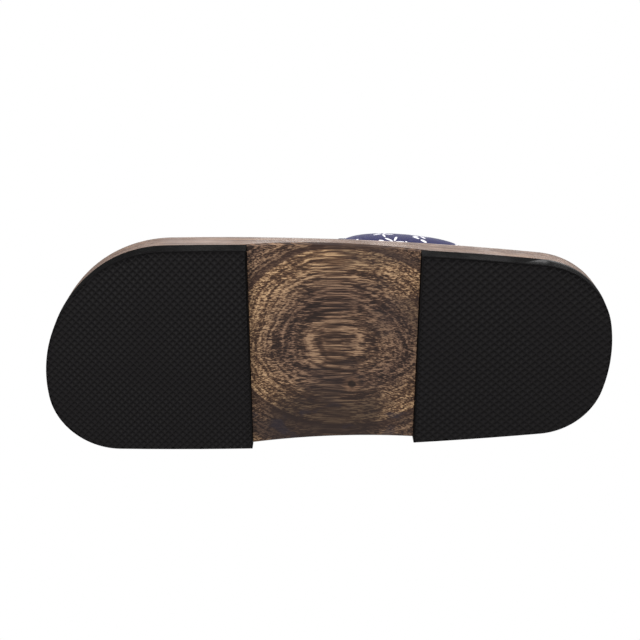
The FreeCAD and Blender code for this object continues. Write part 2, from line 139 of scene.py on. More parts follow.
class Nodes:
    """Adds and links nodes of one tree. A value, a colour or another node's socket can feed an input."""

    def __init__(self, tree):
        self.tree = tree

    def feed(self, socket, source):
        """Link a socket to another, or set a plain value on it."""
        if isinstance(source, bpy.types.NodeSocket):
            self.tree.links.new(source, socket)
        elif source is not None:
            socket.default_value = source

    def math(self, operation, first, second=None):
        """One sum on plain numbers."""
        node = self.tree.nodes.new("ShaderNodeMath")
        node.operation = operation
        for socket, source in zip(node.inputs, (first, second)):
            self.feed(socket, source)
        return node.outputs[0]

    def vector(self, operation, first, second=None):
        """One sum on vectors; LENGTH gives a plain number."""
        node = self.tree.nodes.new("ShaderNodeVectorMath")
        node.operation = operation
        self.feed(node.inputs[0], first)
        self.feed(node.inputs[1], second)
        return node.outputs["Value"] if operation == "LENGTH" else node.outputs[0]

    def stretch(self, source, scale):
        """Coordinates scaled by their own share along each axis."""
        node = self.tree.nodes.new("ShaderNodeMapping")
        self.feed(node.inputs["Vector"], source)
        node.inputs["Scale"].default_value = scale
        return node.outputs[0]

    def noise(self, vector, scale, detail=2.0, roughness=0.5, distortion=0.0):
        """Cloudy noise between none and one."""
        node = self.tree.nodes.new("ShaderNodeTexNoise")
        self.feed(node.inputs["Vector"], vector)
        self.feed(node.inputs["Scale"], scale)
        node.inputs["Detail"].default_value = detail
        node.inputs["Roughness"].default_value = roughness
        node.inputs["Distortion"].default_value = distortion
        return node.outputs["Fac"]

    def spread(self, value, low, high, to_low=0.0, to_high=1.0):
        """Map a value's range onto another, smoothly and clamped."""
        node = self.tree.nodes.new("ShaderNodeMapRange")
        node.interpolation_type = "SMOOTHSTEP"
        for label, source in (("Value", value), ("From Min", low), ("From Max", high),
                              ("To Min", to_low), ("To Max", to_high)):
            self.feed(node.inputs[label], source)
        return node.outputs["Result"]

    def mix(self, share, first, second):
        """Blend two colours. The mix node's colours are its inputs 6 and 7 and its output 2."""
        node = self.tree.nodes.new("ShaderNodeMix")
        node.data_type = "RGBA"
        self.feed(node.inputs[0], share)
        self.feed(node.inputs[6], first)
        self.feed(node.inputs[7], second)
        return node.outputs[2]

    def ramp(self, value, stops):
        """Colours laid along a value, each at its own place."""
        node = self.tree.nodes.new("ShaderNodeValToRGB")
        self.feed(node.inputs[0], value)
        marks = node.color_ramp.elements
        while len(marks) < len(stops):
            marks.new(0.5)
        for mark, (place, colour) in zip(marks, stops):
            mark.position = place
            mark.color = colour
        return node.outputs[0]

    def place(self, tree, **values):
        """A node group with its own values or links on the named inputs."""
        node = self.tree.nodes.new("ShaderNodeGroup")
        node.node_tree = tree
        for label, source in values.items():
            self.feed(node.inputs[label.replace("_", " ")], source)
        return node.outputs

    def split(self, source):
        """The three parts of a vector."""
        node = self.tree.nodes.new("ShaderNodeSeparateXYZ")
        self.feed(node.inputs[0], source)
        return node.outputs

    def join(self, across, along, up):
        """A vector from its three parts."""
        node = self.tree.nodes.new("ShaderNodeCombineXYZ")
        for socket, source in zip(node.inputs, (across, along, up)):
            self.feed(socket, source)
        return node.outputs[0]

    def levelness(self):
        """One on faces that lie flat, none on upright walls."""
        normal = self.tree.nodes.new("ShaderNodeNewGeometry").outputs["Normal"]
        return self.math("ABSOLUTE", self.split(normal)[2])

    def bump(self, height, strength, distance):
        """A surface direction that follows a height."""
        node = self.tree.nodes.new("ShaderNodeBump")
        self.feed(node.inputs["Height"], height)
        node.inputs["Strength"].default_value = strength
        node.inputs["Distance"].default_value = distance
        return node.outputs[0]


def srgb(red, green, blue):
    """Linear colour from eight-bit display values."""
    return tuple(((c / 255 + 0.055) / 1.055) ** 2.4 if c > 10 else c / 255 / 12.92
                 for c in (red, green, blue)) + (1.0,)


def material(name, roughness, **surface):
    """A new material with its Principled surface; plain values go straight on its sockets."""
    made = bpy.data.materials.new(name)
    made.use_nodes = True
    shader = made.node_tree.nodes["Principled BSDF"]
    shader.inputs["Roughness"].default_value = roughness
    for label, value in surface.items():
        shader.inputs[label.replace("_", " ")].default_value = value
    return made, Nodes(made.node_tree), shader


def coordinates(nodes, kind):
    """Where a material is on its piece: kind is Object or UV."""
    return nodes.tree.nodes.new("ShaderNodeTexCoord").outputs[kind]


# ---------------------------------------------------------------- shared effects

def make_grain():
    """Wood cut from one log: fibres that part round a knot, fine layers and wide growth rings.

    The log's axis runs above the board, leans a little along it, and the rings lie round that axis.
    """
    tree, start, end = group(
        "wood_grain",
        [("Vector", "Vector", None), ("Knot", "Vector", (1.0, 1.0, 0.0)),
         ("Pith Side", "Float", -0.0027), ("Pith Height", "Float", 0.168), ("Pith Lean", "Float", 0.032),
         ("Ring Width", "Float", 0.00911), ("Fibre Scale", "Float", 2000.0)],
        [("Fibres", "Float"), ("Rings", "Float"), ("Pores", "Float"), ("Patches", "Float")])
    n = Nodes(tree)
    where = start.outputs["Vector"]
    x, y, z = n.split(where)
    sway = n.noise(n.stretch(where, (9.0, 30.0, 30.0)), 1.0, 2.0)
    wander = n.math("MULTIPLY", n.math("SUBTRACT", sway, 0.5), 0.003)
    side = n.math("SUBTRACT", y, start.outputs["Pith Side"])
    height = n.math("ADD", z, n.math("MULTIPLY", x, start.outputs["Pith Lean"]))
    drop = n.math("SUBTRACT", start.outputs["Pith Height"], height)
    radius = n.math("SQRT", n.math("ADD", n.math("MULTIPLY", side, side), n.math("MULTIPLY", drop, drop)))
    radius = n.math("ADD", radius, wander)
    rings = n.math("FRACT", n.math("DIVIDE", radius, start.outputs["Ring Width"]))
    from_knot = n.vector("SUBTRACT", where, start.outputs["Knot"])
    near = n.vector("LENGTH", n.vector("MULTIPLY", from_knot, (0.5, 1.0, 0.0)))
    parting = n.spread(near, 0.007, 0.0, 0.0, 0.62)
    bent = n.math("SUBTRACT", y, n.math("MULTIPLY", n.split(from_knot)[1], parting))
    fibre_space = n.join(n.math("MULTIPLY", x, 0.03), bent, n.math("MULTIPLY", z, 2.3))
    fine = n.noise(fibre_space, start.outputs["Fibre Scale"], 2.0, 0.6, 0.15)
    coarse = n.noise(fibre_space, n.math("MULTIPLY", start.outputs["Fibre Scale"], 0.4), 2.0, 0.5, 0.1)
    layers = n.noise(n.join(n.math("MULTIPLY", x, 30.0), n.math("MULTIPLY", y, 30.0),
                            n.math("MULTIPLY", radius, 2600.0)), 1.0, 2.0, 0.5)
    fibres = n.math("ADD", n.math("MULTIPLY", fine, 0.48), n.math("MULTIPLY", coarse, 0.22))
    fibres = n.math("ADD", fibres, n.math("MULTIPLY", layers, 0.3))
    pores = n.noise(n.stretch(where, (70.0, 1500.0, 1500.0)), 1.0, 1.0, 0.5)
    patches = n.noise(n.stretch(where, (32.0, 60.0, 60.0)), 1.0, 3.0, 0.55)
    tree.links.new(fibres, end.inputs["Fibres"])
    tree.links.new(rings, end.inputs["Rings"])
    tree.links.new(n.spread(pores, 0.6, 0.72), end.inputs["Pores"])
    tree.links.new(patches, end.inputs["Patches"])
    return tree


def make_weave():
    """Plain weave on cloth coordinates in metres: thread height and a soft thread-to-thread shade."""
    tree, start, end = group(
        "cloth_weave",
        [("Vector", "Vector", None), ("Threads", "Float", 2100.0)],
        [("Height", "Float"), ("Shade", "Float")])
    n = Nodes(tree)
    across, along, _ = n.split(n.vector("MULTIPLY", start.outputs["Vector"], (1.0, 1.0, 0.0)))
    density = start.outputs["Threads"]
    warp = n.math("SINE", n.math("MULTIPLY", n.math("MULTIPLY", across, density), math.pi))
    weft = n.math("SINE", n.math("MULTIPLY", n.math("MULTIPLY", along, density), math.pi))
    height = n.math("ABSOLUTE", n.math("MULTIPLY", warp, weft))
    slub = n.noise(n.stretch(start.outputs["Vector"], (90.0, 900.0, 1.0)), 1.0, 2.0)
    cross = n.noise(n.stretch(start.outputs["Vector"], (900.0, 90.0, 1.0)), 1.0, 2.0)
    tree.links.new(height, end.inputs["Height"])
    tree.links.new(n.math("MULTIPLY", n.math("ADD", slub, cross), 0.5), end.inputs["Shade"])
    return tree


def make_dust():
    """Sparse specks and a broad scuffed cloud, for surfaces that meet the floor or the hand."""
    tree, start, end = group(
        "fine_dust", [("Vector", "Vector", None), ("Speck Scale", "Float", 900.0)],
        [("Specks", "Float"), ("Scuff", "Float")])
    n = Nodes(tree)
    specks = n.noise(start.outputs["Vector"], start.outputs["Speck Scale"], 1.0, 0.5)
    cloud = n.noise(start.outputs["Vector"], 28.0, 4.0, 0.6)
    tree.links.new(n.spread(specks, 0.68, 0.8), end.inputs["Specks"])
    tree.links.new(n.spread(cloud, 0.35, 0.7), end.inputs["Scuff"])
    return tree


GRAIN = make_grain()
WEAVE = make_weave()
DUST = make_dust()


# ---------------------------------------------------------------- materials

KNOT = Vector((0.0123, 0.0212, 0.0))
KNOT_RADIUS = 1.7 * MM


def scorched_wood():
    """Brushed, scorched board: dark fibres, rings that lighten outward, one pin knot, and plainer sides
    painted lighter, partly raw unscorched wood and partly painted light from above.
    """
    made, n, shader = material("scorched_wood", 0.62, Specular_IOR_Level=0.3)
    where = coordinates(n, "Object")
    grain = n.place(GRAIN, Vector=where, Knot=tuple(KNOT))
    contrast = n.spread(grain["Fibres"], 0.42, 0.587)
    dark_wood = n.ramp(contrast, [
        (0.0, srgb(34, 22, 18)), (0.35, srgb(60, 42, 34)),
        (0.7, srgb(94, 70, 56)), (1.0, srgb(142, 112, 90))])
    light_wood = n.ramp(contrast, [
        (0.0, srgb(58, 38, 27)), (0.35, srgb(98, 71, 51)),
        (0.7, srgb(142, 109, 80)), (1.0, srgb(204, 168, 128))])
    outer_ring = n.math("MULTIPLY", n.spread(grain["Rings"], 0.42, 0.9),
                        n.spread(grain["Rings"], 1.0, 0.985))
    heart = n.spread(grain["Rings"], 0.4, 0.26, 0.0, 0.22)
    growth = n.math("MAXIMUM", outer_ring, heart)
    streaks = n.mix(growth, dark_wood, light_wood)
    late = n.spread(grain["Rings"], 0.2, 0.0, 0.0, 0.75)
    ringed = n.mix(late, streaks, srgb(58, 38, 30))
    toned = n.mix(n.spread(grain["Patches"], 0.52, 0.7, 0.0, 0.6), ringed, srgb(46, 35, 34))
    x, y, _ = n.split(where)
    scorched = n.math("MULTIPLY", n.spread(y, 0.016, 0.036), n.spread(n.math("ABSOLUTE", x), 0.038, 0.02))
    shaded = n.mix(n.math("MULTIPLY", scorched, 0.85), toned, srgb(40, 29, 26))
    blots = n.noise(n.stretch(where, (75.0, 130.0, 130.0)), 1.0, 2.0)
    blotted = n.mix(n.math("MULTIPLY", n.spread(y, 0.026, 0.038), n.spread(blots, 0.54, 0.66, 0.0, 0.6)),
                    shaded, srgb(44, 38, 46))
    pored = n.mix(n.math("MULTIPLY", grain["Pores"], 0.4), blotted, srgb(30, 20, 15))
    from_knot = n.vector("LENGTH", n.vector(
        "MULTIPLY", n.vector("SUBTRACT", where, tuple(KNOT)), (1.0, 1.0, 0.0)))
    ragged = n.math("ADD", from_knot, n.math("MULTIPLY", grain["Fibres"], 0.0012))
    halo = n.spread(ragged, KNOT_RADIUS + 0.0045, KNOT_RADIUS + 0.001, 0.0, 0.55)
    ringed_knot = n.mix(halo, pored, n.mix(contrast, srgb(78, 56, 42), srgb(138, 104, 80)))
    knot = n.spread(ragged, KNOT_RADIUS + 0.0014, KNOT_RADIUS + 0.0004, 0.0, 0.9)
    knotted = n.mix(knot, ringed_knot, srgb(30, 20, 16))
    # Painted light: upright sides are made lighter, partly raw unscorched wood and partly light from
    # above painted into the colour.
    raw_and_painted_lit_side = n.spread(n.levelness(), 0.75, 0.3)
    side_tone = n.mix(contrast, srgb(84, 66, 58), srgb(146, 124, 112))
    side_ringed = n.mix(n.math("MULTIPLY", growth, 0.35), side_tone, srgb(120, 96, 82))
    coloured = n.mix(n.math("MULTIPLY", raw_and_painted_lit_side, 0.85), knotted, side_ringed)
    n.feed(shader.inputs["Base Color"], coloured)
    dust = n.place(DUST, Vector=where)
    n.feed(shader.inputs["Roughness"], n.spread(dust["Scuff"], 0.0, 1.0, 0.55, 0.72))
    relief = n.math("SUBTRACT", grain["Fibres"], n.math("MULTIPLY", knot, 0.3))
    n.feed(shader.inputs["Normal"], n.bump(relief, 0.55, 0.0007))
    return made


def plain_wood():
    """Pale unscorched wood with close rings."""
    made, n, shader = material("wedge_wood", 0.6)
    grain = n.place(GRAIN, Vector=coordinates(n, "Object"), Fibre_Scale=2400.0, Ring_Width=0.004)
    tone = n.mix(n.spread(grain["Fibres"], 0.38, 0.64), srgb(122, 90, 62), srgb(186, 150, 112))
    pored = n.mix(n.math("MULTIPLY", grain["Pores"], 0.4), tone, srgb(80, 54, 36))
    n.feed(shader.inputs["Base Color"], pored)
    n.feed(shader.inputs["Normal"], n.bump(grain["Fibres"], 0.3, 0.0004))
    return made


def tread_rubber():
    """Near-black matte rubber with a faint bloom, painted shade on its upright walls, fine moulding
    texture and specks.
    """
    made, n, shader = material("tread_rubber", 0.66)
    where = coordinates(n, "Object")
    dust = n.place(DUST, Vector=where, Speck_Scale=1500.0)
    bloom_and_wall_shade = n.mix(n.math("MULTIPLY", dust["Scuff"], 0.4), srgb(17, 15, 16), srgb(26, 24, 25))
    # Painted shade: the pads' upright walls are darkened to near-black; the same mask lowers their
    # specular level.
    wall = n.spread(n.levelness(), 0.5, 0.2, 0.0, 0.8)
    bloom_and_wall_shade = n.mix(wall, bloom_and_wall_shade, srgb(4, 4, 4))
    n.feed(shader.inputs["Specular IOR Level"], n.math("SUBTRACT", 0.16, n.math("MULTIPLY", wall, 0.17)))
    specked = n.mix(n.math("MULTIPLY", dust["Specks"], 0.3), bloom_and_wall_shade, srgb(60, 58, 57))
    n.feed(shader.inputs["Base Color"], specked)
    n.feed(shader.inputs["Roughness"], n.spread(dust["Scuff"], 0.0, 1.0, 0.6, 0.78))
    n.feed(shader.inputs["Normal"], n.bump(n.noise(where, 2600.0, 2.0), 0.25, 0.0003))
    return made


def petal_mask(n, place, cell, reach, petals, slimness):
    """Small flowers, one to a cell: each is a ring of slim petals turned at random."""
    cells = n.tree.nodes.new("ShaderNodeTexVoronoi")
    cells.voronoi_dimensions = "2D"
    cells.inputs["Randomness"].default_value = 0.72
    cells.inputs["Scale"].default_value = 1.0 / cell
    n.feed(cells.inputs["Vector"], place)
    offset = n.vector("SUBTRACT", place, cells.outputs["Position"])
    across, along, _ = n.split(offset)
    spin = n.math("MULTIPLY", n.split(cells.outputs["Color"])[0], 2 * math.pi)
    angle = n.math("ADD", n.math("ARCTAN2", along, across), spin)
    lobes = n.math("ABSOLUTE", n.math("COSINE", n.math("MULTIPLY", angle, petals / 2)))
    edge = n.math("MULTIPLY", n.math("POWER", lobes, slimness), reach)
    distance = n.vector("LENGTH", offset)
    inside = n.math("SUBTRACT", edge, distance)
    petal = n.spread(inside, -0.0001, 0.00015)
    eye = n.spread(distance, 0.0006, 0.00085)
    return n.math("MULTIPLY", petal, eye)


def printed_cloth():
    """Navy cotton printed with scattered pale flowers and slim leaves."""
    made, n, shader = material("printed_cloth", 0.88, Sheen_Weight=0.08, Sheen_Roughness=0.5)
    shader.inputs["Sheen Tint"].default_value = srgb(150, 156, 190)
    cloth = coordinates(n, "UV")
    weave = n.place(WEAVE, Vector=cloth)
    ground = n.mix(weave["Shade"], srgb(16, 14, 48), srgb(36, 33, 92))
    flowers = petal_mask(n, cloth, 0.0185, 0.0052, 5, 4.5)
    shifted = n.vector("ADD", cloth, (0.0091, 0.0073, 0.0))
    leaves = petal_mask(n, shifted, 0.0155, 0.0042, 2, 9.0)
    printed = n.math("MAXIMUM", flowers, leaves)
    ink = n.math("MULTIPLY", printed, n.spread(weave["Shade"], 0.15, 0.45, 0.82, 1.0))
    n.feed(shader.inputs["Base Color"], n.mix(ink, ground, srgb(236, 234, 238)))
    n.feed(shader.inputs["Normal"], n.bump(weave["Height"], 0.35, 0.00025))
    return made


def plain_cloth(name, dark, light, threads):
    """Dyed plain-weave cotton between two shades of one colour."""
    made, n, shader = material(name, 0.9, Sheen_Weight=0.08, Sheen_Roughness=0.5)
    weave = n.place(WEAVE, Vector=coordinates(n, "UV"), Threads=threads)
    n.feed(shader.inputs["Base Color"], n.mix(weave["Shade"], dark, light))
    n.feed(shader.inputs["Normal"], n.bump(weave["Height"], 0.4, 0.0003))
    return made


def thread():
    """Twisted navy sewing thread."""
    made, n, shader = material("sewing_thread", 0.6, Sheen_Weight=0.3)
    twist = n.noise(coordinates(n, "Object"), 3500.0, 1.0)
    n.feed(shader.inputs["Base Color"], n.mix(twist, srgb(34, 34, 62), srgb(70, 70, 104)))
    return made


def tack_steel():
    """Drawn steel with faint tarnish specks."""
    made, n, shader = material("tack_steel", 0.38, Metallic=1.0)
    dust = n.place(DUST, Vector=coordinates(n, "Object"), Speck_Scale=3000.0)
    n.feed(shader.inputs["Base Color"], n.mix(dust["Specks"], srgb(176, 172, 164), srgb(120, 104, 88)))
    n.feed(shader.inputs["Roughness"], n.spread(dust["Scuff"], 0.0, 1.0, 0.3, 0.5))
    return made


MATERIALS = {
    "sole_wood": scorched_wood(),
    "wedge_wood": plain_wood(),
    "tread_rubber": tread_rubber(),
    "printed_cloth": printed_cloth(),
    "lining_cloth": plain_cloth("lining_cloth", srgb(28, 28, 58), srgb(54, 54, 92), 1500.0),
    "binding_cloth": plain_cloth("binding_cloth", srgb(14, 13, 40), srgb(34, 33, 72), 1900.0),
    "tack_steel": tack_steel(),
    "thread": thread(),
}


# ---------------------------------------------------------------- mesh helpers

def new_piece(name, mesh_builder, slot, smooth_angle, material_name=None):
    """Finish a bmesh as a piece that rides on the slipper's one body."""
    mesh = bpy.data.meshes.new(name)
    mesh_builder.to_mesh(mesh)
    mesh_builder.free()
    piece = bpy.data.objects.new(name, mesh)
    bpy.context.scene.collection.objects.link(piece)
    piece.data.materials.append(MATERIALS[material_name or slot])
    mesh.shade_smooth()
    mesh.set_sharp_from_angle(angle=math.radians(smooth_angle))
    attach(piece, "root")
    return piece


# ---------------------------------------------------------------- wooden sole, wedges, tacks

def dress_cad_nodes():
    """Give the pieces that keep their own shape their finish."""
    finishes = {
        "wood_sole": "sole_wood", "lateral_wedge": "wedge_wood", "medial_wedge": "wedge_wood",
        "lateral_tacks": "tack_steel", "medial_tacks": "tack_steel",
    }
    for node, finish in finishes.items():
        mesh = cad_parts[node].data
        mesh.materials.clear()
        mesh.materials.append(MATERIALS[finish])


# ---------------------------------------------------------------- rubber treads

def ground_outline(node):
    """The ground face's corners in order, counter-clockwise seen from above."""
    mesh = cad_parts[node].data
    low = min(v.co.z for v in mesh.vertices)
    points = {}
    for face in mesh.polygons:
        if all(abs(mesh.vertices[i].co.z - low) < MERGE_DISTANCE for i in face.vertices):
            for i in face.vertices:
                at = mesh.vertices[i].co
                points[(round(at.x, 6), round(at.y, 6))] = Vector((at.x, at.y))
    centre = sum(points.values(), Vector((0, 0))) / len(points)
    return sorted(points.values(), key=lambda p: math.atan2(p.y - centre.y, p.x - centre.x))


def clipped(shape, outline):
    """The part of a convex shape inside a convex outline."""
    for i, start in enumerate(outline):
        edge = outline[(i + 1) % len(outline)] - start
        normal = Vector((-edge.y, edge.x))
        kept = []
        for j, point in enumerate(shape):
            before = shape[j - 1]
            here, there = (point - start).dot(normal), (before - start).dot(normal)
            if here * there < 0:
                kept.append(before + (point - before) * (there / (there - here)))
            if here >= 0:
                kept.append(point)
        shape = kept
        if len(shape) < 3:
            return []
    return shape


def shape_area(shape):
    """Area of a flat outline given by its corners in order."""
    return abs(sum(a.x * b.y - b.x * a.y for a, b in zip(shape, shape[1:] + shape[:1]))) / 2


def simple_outline(outline):
    """The outline without the points that lie on a straight run."""
    kept = []
    for i, point in enumerate(outline):
        before, after = outline[i - 1], outline[(i + 1) % len(outline)]
        turn = (point - before).cross(after - point)
        if abs(turn) > 1e-10:
            kept.append(point)
    return kept


def tread_net(build, outline, pitch, angle):
    """The net of ribs and pits that covers the outline, as one open sheet."""
    turn = math.radians(angle)
    step_a = Vector((math.cos(turn), math.sin(turn)))
    step_b = Vector((math.cos(turn), -math.sin(turn)))
    gap = pitch / math.sin(2 * turn)
    centre = sum(outline, Vector((0, 0))) / len(outline)
    reach = int(max((p - centre).length for p in outline) / pitch) + 3
    for i in range(-reach, reach + 1):
        for j in range(-reach, reach + 1):
            middle = centre + (step_a * i + step_b * j) * gap
            lozenge = [middle + (step_a * a + step_b * b) * gap / 2
                       for a, b in ((-1, -1), (1, -1), (1, 1), (-1, 1))]
            if (lozenge[1] - lozenge[0]).cross(lozenge[2] - lozenge[1]) < 0:
                lozenge.reverse()
            cell = clipped(lozenge, outline)
            if len(cell) > 2 and shape_area(cell) > 1e-9:
                add_pit(build, cell, gap * gap)
    bmesh.ops.remove_doubles(build, verts=build.verts, dist=MERGE_DISTANCE)


def add_pit(build, cell, whole_area):
    """One cell: flat rib round a sloping pit. A cell cut small by the outline stays flat."""
    rim = [build.verts.new((p.x, p.y, 0.0)) for p in cell]
    if shape_area(cell) < SMALLEST_PIT_SHARE * whole_area:
        build.faces.new(list(reversed(rim)))
        return
    middle = sum(cell, Vector((0, 0))) / len(cell)
    rings = [rim]
    for share, height in ((1 - RIB_SHARE, PIT_LIP), (PIT_FLOOR_SHARE, TREAD_DEPTH)):
        ring = [middle + (p - middle) * share for p in cell]
        rings.append([build.verts.new((p.x, p.y, height)) for p in ring])
    for outer, inner in zip(rings, rings[1:]):
        for k in range(len(cell)):
            nxt = (k + 1) % len(cell)
            build.faces.new((outer[nxt], outer[k], inner[k], inner[nxt]))
    build.faces.new(list(reversed(rings[-1])))


def rubber_tread(node, pitch, angle):
    """The pad's block, lifted off the ground by the tread's depth, with the tread net under it."""
    build = bmesh.new()
    outline = simple_outline(ground_outline(node))
    tread_net(build, outline, pitch, angle)
    rim = [e for e in build.edges if e.is_boundary]
    raised = bmesh.ops.extrude_edge_only(build, edges=rim)["geom"]
    top = TREAD_DEPTH + TREAD_BACKING
    for vert in (g for g in raised if isinstance(g, bmesh.types.BMVert)):
        vert.co.z = top
    loop = [g for g in raised if isinstance(g, bmesh.types.BMEdge) and g.is_boundary]
    bmesh.ops.contextual_create(build, geom=loop)
    block = bmesh.new()
    block.from_mesh(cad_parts[node].data)
    for vert in block.verts:
        vert.co.z = max(vert.co.z, TREAD_DEPTH + TREAD_BACKING / 2)
    copy = bpy.data.meshes.new(node + "_block")
    bmesh.ops.remove_doubles(block, verts=block.verts, dist=MERGE_DISTANCE)
    bmesh.ops.recalc_face_normals(block, faces=block.faces)
    block.to_mesh(copy)
    block.free()
    bmesh.ops.recalc_face_normals(build, faces=build.faces)
    build.from_mesh(copy)
    bpy.data.meshes.remove(copy)
    piece = new_piece(node.replace("_pad", "_tread"), build, "tread_rubber", smooth_angle=25)
    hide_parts(node)


# ---------------------------------------------------------------- cloth band

REAR_BOX, FRONT_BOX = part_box("rear_binding"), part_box("front_binding")
WEDGE_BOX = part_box("lateral_wedge")
BAND_REAR, BAND_FRONT = REAR_BOX[0].x, FRONT_BOX[1].x
BAND_LENGTH = BAND_FRONT - BAND_REAR
RIM_AT_REAR = WEDGE_BOX[1].z
SOLE_DROP = 2.5 * MM
SOLE_SLOPE = -SOLE_DROP / (2 * HALF_LENGTH)


def eased(value):
    """A value held between none and one, with a soft start and a soft end."""
    held = max(0.0, min(1.0, value))
    return held * held * (3 - 2 * held)


def arch_at(share):
    """Left side, right side, spring height and rise of the band's outer line, rear 0 to front 1."""
    reach = (FRONT_BOX[0].x - BAND_REAR) / BAND_LENGTH

    def along(rear, front):
        return rear + (front - rear) * share / reach
    spring = RIM_AT_REAR + SOLE_SLOPE * share * BAND_LENGTH
    left = along(REAR_BOX[0].y, FRONT_BOX[0].y)
    right = along(REAR_BOX[1].y, FRONT_BOX[1].y)
    return left, right, spring, along(REAR_BOX[1].z, FRONT_BOX[1].z) - spring


def band_point(share, turn, depth):
    """A point of the band: share along X, turn from lateral foot 0 to medial foot 1, depth inward.

    The feet run straight down into their slots; the rest is half an ellipse.
    """
    left, right, spring, rise = arch_at(share)
    middle, span = (left + right) / 2, (right - left) / 2
    x = BAND_REAR + share * BAND_LENGTH
    leg = BAND_LEG_SHARE
    if turn < leg or turn > 1 - leg:
        low = (leg - min(turn, 1 - turn)) / leg
        side = -1 if turn < leg else 1
        return Vector((x, middle + side * (span - depth), spring - low * BAND_FOOT_DEPTH))
    angle = math.pi * (1 - (turn - leg) / (1 - 2 * leg))
    at = Vector((x, middle + span * math.cos(angle), spring + rise * math.sin(angle)))
    normal = Vector((0, math.cos(angle) / span, math.sin(angle) / rise)).normalized()
    return at - normal * depth


def crown(share, turn):
    """How far the padding swells past the flat band: none at the bound edges and in the slots."""
    under_tape = BINDING_WIDTH * TAPED_SHARE
    edge = min(share, 1 - share) * BAND_LENGTH - under_tape
    across = max(0.0, min(1.0, edge / (BAND_LENGTH / 2 - under_tape)))
    rounded = math.sqrt(max(0.0, 1 - (1 - across) ** CROWN_ROUNDNESS))
    return BAND_CROWN * rounded * eased((min(turn, 1 - turn) - CROWN_START) / CROWN_RUN)


def puckers(share, turn):
    """Small soft folds that gather along the bound edges, and broad creases over the foot."""
    edge = min(share, 1 - share) * BAND_LENGTH
    clear_of_tape = edge > BINDING_WIDTH * PUCKER_START
    near = math.exp(-((edge - BINDING_WIDTH) / PUCKER_REACH) ** 2) if clear_of_tape else 0.0
    gathers = noise.noise(Vector((share * 3.0, turn * 46.0, 2.5)))
    creases = noise.noise(Vector((share * 2.4, turn * 7.0, 9.1)))
    return (gathers * PUCKER_HEIGHT * near + creases * CREASE_HEIGHT) * MM


def band_surface(columns, margin, depth_of):
    """Grid of points over the band, a margin in from its edges; depth_of(share, turn) goes inward."""
    grid = []
    for i in range(columns + 1):
        share = margin + (1 - 2 * margin) * i / columns
        grid.append([band_point(share, j / BAND_ROWS, depth_of(share, j / BAND_ROWS))
                     for j in range(BAND_ROWS + 1)])
    return grid


def arc_lengths():
    """Distance along the band's middle line at each row."""
    middle = [band_point(0.5, j / BAND_ROWS, 0.0) for j in range(BAND_ROWS + 1)]
    lengths = [0.0]
    for a, b in zip(middle, middle[1:]):
        lengths.append(lengths[-1] + (b - a).length)
    return lengths


def closed_band(outer, inner):
    """A closed shell between two grids, with cloth coordinates in metres on it."""
    columns, rows = len(outer) - 1, BAND_ROWS
    build = bmesh.new()
    cloth = build.loops.layers.uv.new("cloth")
    lengths = arc_lengths()
    places = {}
    layers = []
    for grid in (outer, inner):
        layer = []
        for i, line in enumerate(grid):
            verts = [build.verts.new(p) for p in line]
            for j, vert in enumerate(verts):
                places[vert] = (line[j].x, lengths[j])
            layer.append(verts)
        layers.append(layer)
    top, under = layers

    def face(corners):
        made = build.faces.new(corners)
        for loop in made.loops:
            loop[cloth].uv = places[loop.vert]
    for i in range(columns):
        for j in range(rows):
            face((top[i][j], top[i][j + 1], top[i + 1][j + 1], top[i + 1][j]))
            face((under[i][j], under[i + 1][j], under[i + 1][j + 1], under[i][j + 1]))
    for j in range(rows):
        face((top[0][j], under[0][j], under[0][j + 1], top[0][j + 1]))
        face((top[columns][j], top[columns][j + 1], under[columns][j + 1], under[columns][j]))
    for i in range(columns):
        face((top[i][0], top[i + 1][0], under[i + 1][0], under[i][0]))
        face((top[i][rows], under[i][rows], under[i + 1][rows], top[i + 1][rows]))
    bmesh.ops.recalc_face_normals(build, faces=build.faces)
    return build


def band_inner_depth(turn):
    """Depth of the band's inner face: thin at the slots, thick over the foot."""
    rise = eased((min(turn, 1 - turn) - BAND_LEG_SHARE) / PADDING_RUN)
    return THICKNESS_IN_SLOT + (THICKNESS_OVER_FOOT - THICKNESS_IN_SLOT) * rise


def held_points():
    """Cushion points that the swelling leaves alone: the inner face, under the tapes and in the slots."""
    columns, rows = CUSHION_COLUMNS, BAND_ROWS
    held = []
    for i in range(columns + 1):
        for j in range(rows + 1):
            edge, foot = min(i, columns - i) / columns, min(j, rows - j) / rows
            if edge < SWELL_SHARE_HELD or foot < SWELL_SHARE_HELD:
                held.append(i * (rows + 1) + j)
    count = (columns + 1) * (rows + 1)
    return held + list(range(count, 2 * count))


def swell(piece, held):
    """Blow the cushion up as pressurised cloth; held points stay, and none moves past the limit."""
    piece.vertex_groups.new(name="held").add(held, 1.0, "REPLACE")
    cloth = piece.modifiers.new("cloth", "CLOTH")
    fabric = cloth.settings
    fabric.quality = SWELL_QUALITY
    fabric.mass = SWELL_POINT_MASS
    fabric.tension_stiffness = fabric.compression_stiffness = SWELL_STIFFNESS
    fabric.shear_stiffness = SWELL_STIFFNESS
    fabric.bending_stiffness = SWELL_BENDING
    fabric.vertex_group_mass = "held"
    fabric.use_pressure = True
    fabric.uniform_pressure_force = SWELL_PRESSURE
    fabric.effector_weights.gravity = 0.0
    cloth.point_cache.frame_end = SWELL_FRAMES
    for number in range(1, SWELL_FRAMES + 1):
        bpy.context.scene.frame_set(number)
    swollen = piece.evaluated_get(bpy.context.evaluated_depsgraph_get())
    steps = [after.co - before.co for before, after in zip(piece.data.vertices, swollen.data.vertices)]
    piece.modifiers.remove(cloth)
    piece.vertex_groups.clear()
    for vert, step in zip(piece.data.vertices, steps):
        vert.co += step * min(1.0, SWELL_LIMIT / max(step.length, 1e-9))
    bpy.context.scene.frame_set(1)


